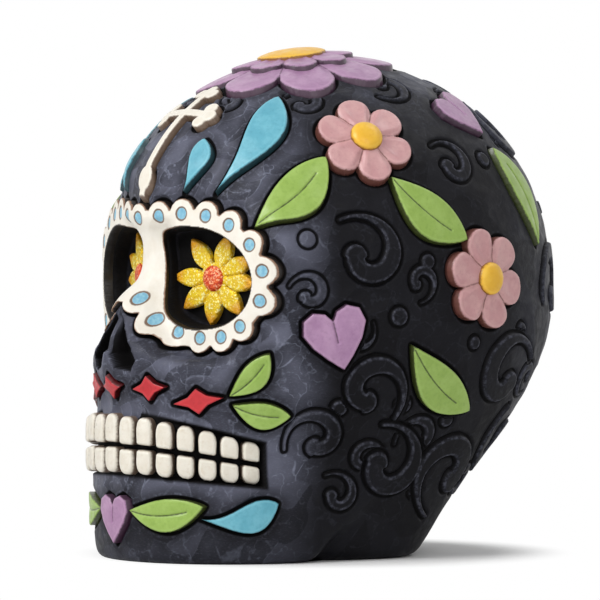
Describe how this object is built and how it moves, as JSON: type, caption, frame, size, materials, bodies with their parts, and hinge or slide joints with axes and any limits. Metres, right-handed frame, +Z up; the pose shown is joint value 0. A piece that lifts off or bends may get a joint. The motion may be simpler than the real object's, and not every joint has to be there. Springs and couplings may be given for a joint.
{
  "type": "sugar skull figurine",
  "caption": "Painted skull figurine with a scalloped eye mask, flowers in the eyes, bared teeth, a forehead cross and raised flowers, leaves, drops and hearts.",
  "frame": {"origin": "middle of the bounding box at the underside, where the figurine stands", "axes": "+Z up, the face looks along -Y, +X towards the skull's own left side"},
  "size_m": [0.1052, 0.1336, 0.1315],
  "materials": {
    "slate": "black-grey semi-gloss paint, dry-brushed on its carved edges",
    "cream": "semi-gloss cream paint with brown wash in its edges",
    "gold": "semi-gloss yellow paint",
    "glitter_yellow": "yellow paint under coarse glitter",
    "glitter_red": "red-orange paint under coarse glitter",
    "pink": "semi-gloss dusty pink paint",
    "purple": "semi-gloss mauve paint",
    "green": "semi-gloss leaf green paint",
    "turquoise": "semi-gloss turquoise paint",
    "red": "semi-gloss red paint",
    "felt": "short-pile felt"
  },
  "bodies": {
    "root": {"skull_shell": "slate", "base_plate": "slate", "base_felt": "felt", "upper_teeth": "cream", "lower_teeth": "cream", "eye_mask": "cream", "left_eye_petals": "glitter_yellow", "right_eye_petals": "glitter_yellow", "left_eye_bead": "glitter_red", "right_eye_bead": "glitter_red", "forehead_cross": "cream", "center_lip_diamond": "red", "left_inner_lip_diamond": "red", "right_inner_lip_diamond": "red", "left_outer_lip_diamond": "red", "right_outer_lip_diamond": "red", "crown_petals": "purple", "crown_inner_petals": "purple", "crown_button": "gold", "left_temple_blossom_petals": "pink", "right_temple_blossom_petals": "pink", "left_temple_blossom_button": "gold", "right_temple_blossom_button": "gold", "left_rear_blossom_petals": "pink", "right_rear_blossom_petals": "pink", "left_rear_blossom_button": "gold", "right_rear_blossom_button": "gold", "nape_blossom_petals": "purple", "nape_blossom_button": "gold", "left_temple_leaf_front": "green", "right_temple_leaf_front": "green", "left_temple_leaf_back": "green", "right_temple_leaf_back": "green", "left_rear_leaf_upper": "green", "right_rear_leaf_upper": "green", "left_rear_leaf_lower": "green", "right_rear_leaf_lower": "green", "left_cheek_leaf_upper": "green", "right_cheek_leaf_upper": "green", "left_cheek_leaf_lower": "green", "right_cheek_leaf_lower": "green", "left_jaw_leaf": "green", "right_jaw_leaf": "green", "left_brow_drop": "turquoise", "right_brow_drop": "turquoise", "left_short_drop": "turquoise", "right_short_drop": "turquoise", "left_jaw_drop": "turquoise", "right_jaw_drop": "turquoise", "left_side_heart": "purple", "right_side_heart": "purple", "left_crown_heart": "purple", "right_crown_heart": "purple", "chin_heart": "purple"}
  },
  "joints": []
}
